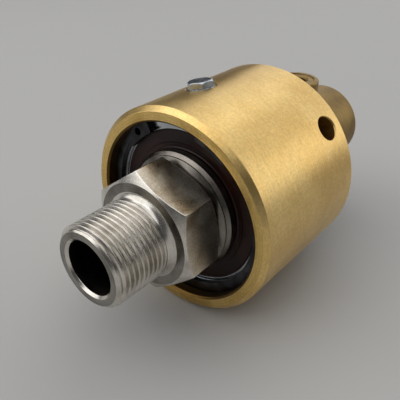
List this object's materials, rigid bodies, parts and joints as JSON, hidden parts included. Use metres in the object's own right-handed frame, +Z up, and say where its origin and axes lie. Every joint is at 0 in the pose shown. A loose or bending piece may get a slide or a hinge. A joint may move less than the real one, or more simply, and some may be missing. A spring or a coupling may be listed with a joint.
{
  "type": "hydraulic rotary union",
  "caption": "Rotary union: a threaded hollow stainless rotor turns on ball bearings in a round brass housing, with a spring-loaded face seal and a rear pipe port.",
  "frame": {"origin": "centre of the rear supply port's mouth, on the rotation axis", "axes": "+X along the rotation axis out of the rear port, so the rotor's threaded nose points to -X; +Z up, through the side port boss; +Y completes the right-handed set"},
  "size_m": [0.1377, 0.072, 0.0752],
  "materials": {
    "turned_brass": "satin, lathe turned",
    "cast_brass": "satin, cast then machined",
    "plug_brass": "satin",
    "stainless_steel": "fine turned",
    "phosphated_spring_steel": "matt phosphate",
    "bearing_steel": "ground",
    "polished_ball_steel": "polished",
    "cage_polyamide": "moulded",
    "seal_rubber": "moulded, dark brown",
    "spacer_steel": "turned",
    "hard_seal_ceramic": "lapped",
    "carbon_graphite": "lapped",
    "o_ring_rubber": "moulded",
    "spring_wire": "drawn wire",
    "pin_steel": "ground",
    "black_screw_steel": "black oxide",
    "zinc_plated_steel": "bright zinc plate"
  },
  "bodies": {
    "stationary_housing": {"housing": "turned_brass", "end_cap": "cast_brass", "end_cap_screws": "black_screw_steel", "end_cap_o_ring": "o_ring_rubber", "anti_rotation_pins": "pin_steel", "filler_plug": "zinc_plated_steel", "side_port_plug": "plug_brass", "bore_circlip": "phosphated_spring_steel", "front_bearing_outer_ring": "bearing_steel", "rear_bearing_outer_ring": "bearing_steel", "front_bearing_seal": "seal_rubber", "rear_bearing_seal": "seal_rubber", "outer_spacer": "spacer_steel"},
    "turning_rotor": {"rotor": "stainless_steel", "shaft_circlip": "phosphated_spring_steel", "front_bearing_inner_ring": "bearing_steel", "rear_bearing_inner_ring": "bearing_steel", "inner_spacer": "spacer_steel", "rotating_seal_ring": "hard_seal_ceramic", "seal_ring_o_ring": "o_ring_rubber"},
    "front_ball_set": {"front_bearing_cage": "cage_polyamide", "front_bearing_balls": "polished_ball_steel"},
    "rear_ball_set": {"rear_bearing_cage": "cage_polyamide", "rear_bearing_balls": "polished_ball_steel"},
    "floating_seal": {"seal_carrier": "stainless_steel", "carbon_seal_ring": "carbon_graphite", "carrier_o_ring": "o_ring_rubber", "seal_spring": "spring_wire"}
  },
  "joints": [
    {"name": "rotor_spin", "type": "hinge", "parent": "stationary_housing", "child": "turning_rotor", "pos_m": [0, 0, 0], "axis": [1, 0, 0], "continuous": true},
    {"name": "front_cage_orbit", "type": "hinge", "parent": "stationary_housing", "child": "front_ball_set", "pos_m": [0, 0, 0], "axis": [1, 0, 0], "continuous": true},
    {"name": "rear_cage_orbit", "type": "hinge", "parent": "stationary_housing", "child": "rear_ball_set", "pos_m": [0, 0, 0], "axis": [1, 0, 0], "continuous": true},
    {"name": "seal_float", "type": "slide", "parent": "stationary_housing", "child": "floating_seal", "axis": [1, 0, 0], "range_m": [0, 0.002], "stiffness_N_per_m": 8000, "springref_m": -0.004, "deforming": ["seal_spring"]}
  ],
  "couplings": [
    {"joint": "front_cage_orbit", "follows": "rotor_spin", "ratio": 0.41816},
    {"joint": "rear_cage_orbit", "follows": "rotor_spin", "ratio": 0.41816}
  ]
}
